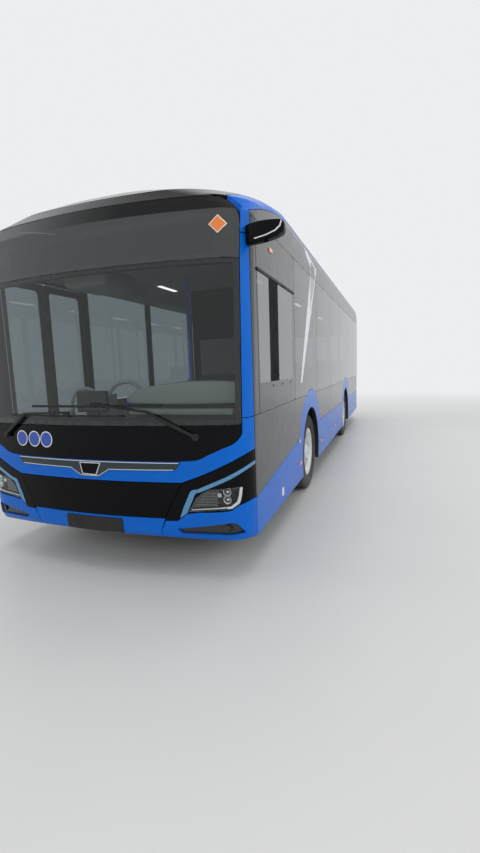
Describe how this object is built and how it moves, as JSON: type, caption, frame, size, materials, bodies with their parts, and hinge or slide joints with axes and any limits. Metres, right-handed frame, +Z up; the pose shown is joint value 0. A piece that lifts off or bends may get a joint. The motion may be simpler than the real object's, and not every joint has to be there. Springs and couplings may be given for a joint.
{
  "type": "low-floor electric city bus, 10.5 m, two axles, two double doors, twin rear wheels",
  "caption": "Low-floor electric city bus with blue and dark grey body, big curved windscreen, double doors and steered front wheels.",
  "frame": {"origin": "on the ground, in the middle of the bus's length and width", "axes": "+X to the bus's left (driver's) side, +Y to its rear, +Z up"},
  "size_m": [3.11, 10.5889, 3.3225],
  "materials": {
    "body_blue": "gloss",
    "side_grey": "gloss",
    "roof_paint": "satin",
    "gloss_black": "gloss",
    "trim_black": "matte",
    "lamp_black": "gloss",
    "lamp_red": "gloss",
    "strip_steel": "brushed",
    "bright_trim": "polished",
    "clear_glass": "gloss",
    "dark_glass": "gloss",
    "interior_grey": "matte",
    "dash_grey": "matte",
    "floor_grey": "matte",
    "seat_fabric": "matte",
    "pole_blue": "gloss",
    "frame_steel": "satin",
    "cast_steel": "rough",
    "wheel_silver": "satin",
    "tyre_rubber": "matte"
  },
  "bodies": {
    "body": {"front_panel": "body_blue", "front_gloss_panels": "gloss_black", "mask_frame": "trim_black", "lamp_surrounds": "gloss_black", "light_strips": "strip_steel", "headlamp_lenses": "clear_glass", "headlamps": "lamp_black", "front_bumper": "body_blue", "fog_lamps": "lamp_black", "plate_holder": "trim_black", "front_trim": "bright_trim", "windscreen": "clear_glass", "display_glass": "dark_glass", "cant_rails": "body_blue", "front_dome": "gloss_black", "roof": "roof_paint", "ceiling": "interior_grey", "roof_fairings": "body_blue", "roof_units": "roof_paint", "skirt_panels": "body_blue", "lower_side_panels": "side_grey", "upper_side_panels": "side_grey", "side_glass": "dark_glass", "window_pillars": "trim_black", "floor": "floor_grey", "underframe": "frame_steel", "front_axle": "frame_steel", "rear_axle": "cast_steel", "drive_motor": "frame_steel", "rear_wall": "side_grey", "rear_window": "dark_glass", "rear_lamps": "lamp_red", "rear_bumper": "body_blue", "seats": "seat_fabric", "grab_poles": "pole_blue", "dashboard": "dash_grey", "driver_seat": "seat_fabric", "mirror_pods": "gloss_black", "wipers": "trim_black"},
    "knuckle_left": {"knuckle_left": "cast_steel"},
    "knuckle_right": {"knuckle_right": "cast_steel"},
    "wheel_front_left": {"front_rim_left": "wheel_silver", "front_tyre_left": "tyre_rubber"},
    "wheel_front_right": {"front_rim_right": "wheel_silver", "front_tyre_right": "tyre_rubber"},
    "wheels_rear_left": {"rear_rims_left": "wheel_silver", "rear_tyres_left": "tyre_rubber"},
    "wheels_rear_right": {"rear_rims_right": "wheel_silver", "rear_tyres_right": "tyre_rubber"},
    "steering_wheel": {"steering_wheel": "trim_black"},
    "front_door_fore": {"front_door_fore_leaf": "trim_black", "front_door_fore_glass": "dark_glass"},
    "front_door_aft": {"front_door_aft_leaf": "trim_black", "front_door_aft_glass": "dark_glass"},
    "middle_door_fore": {"middle_door_fore_leaf": "trim_black", "middle_door_fore_glass": "dark_glass"},
    "middle_door_aft": {"middle_door_aft_leaf": "trim_black", "middle_door_aft_glass": "dark_glass"},
    "rear_flap": {"rear_flap": "side_grey"}
  },
  "joints": [
    {"name": "steer_left", "type": "hinge", "parent": "body", "child": "knuckle_left", "pos_m": [0.905, -2.5125, 0.479], "axis": [0, 0, 1], "range_deg": [-45, 45]},
    {"name": "steer_right", "type": "hinge", "parent": "body", "child": "knuckle_right", "pos_m": [-0.905, -2.5125, 0.479], "axis": [0, 0, 1], "range_deg": [-45, 45]},
    {"name": "spin_front_left", "type": "hinge", "parent": "knuckle_left", "child": "wheel_front_left", "pos_m": [1.112, -2.5125, 0.479], "axis": [1, 0, 0], "continuous": true},
    {"name": "spin_front_right", "type": "hinge", "parent": "knuckle_right", "child": "wheel_front_right", "pos_m": [-1.112, -2.5125, 0.479], "axis": [1, 0, 0], "continuous": true},
    {"name": "spin_rear_left", "type": "hinge", "parent": "body", "child": "wheels_rear_left", "pos_m": [0.948, 1.8825, 0.479], "axis": [1, 0, 0], "continuous": true},
    {"name": "spin_rear_right", "type": "hinge", "parent": "body", "child": "wheels_rear_right", "pos_m": [-0.948, 1.8825, 0.479], "axis": [1, 0, 0], "continuous": true},
    {"name": "steering_turn", "type": "hinge", "parent": "body", "child": "steering_wheel", "pos_m": [0.56, -4.5875, 1.165], "axis": [0, 0.4695, 0.8829], "range_deg": [-810, 810]},
    {"name": "front_door_fore_turn", "type": "hinge", "parent": "body", "child": "front_door_fore", "pos_m": [-1.2, -4.8195, 1.4], "axis": [0, 0, 1], "range_deg": [-90, 0]},
    {"name": "front_door_aft_turn", "type": "hinge", "parent": "body", "child": "front_door_aft", "pos_m": [-1.2, -3.6855, 1.4], "axis": [0, 0, 1], "range_deg": [0, 90]},
    {"name": "middle_door_fore_turn", "type": "hinge", "parent": "body", "child": "middle_door_fore", "pos_m": [-1.2, -0.6425, 1.4], "axis": [0, 0, 1], "range_deg": [-90, 0]},
    {"name": "middle_door_aft_turn", "type": "hinge", "parent": "body", "child": "middle_door_aft", "pos_m": [-1.2, 0.4915, 1.4], "axis": [0, 0, 1], "range_deg": [0, 90]},
    {"name": "rear_flap_lift", "type": "hinge", "parent": "body", "child": "rear_flap", "pos_m": [0, 5.2815, 1.334], "axis": [1, 0, 0], "range_deg": [0, 80]}
  ],
  "couplings": [
    {"joint": "steer_right", "follows": "steer_left", "ratio": 1},
    {"joint": "steering_turn", "follows": "steer_left", "ratio": 18},
    {"joint": "front_door_aft_turn", "follows": "front_door_fore_turn", "ratio": -1},
    {"joint": "middle_door_aft_turn", "follows": "middle_door_fore_turn", "ratio": -1}
  ]
}
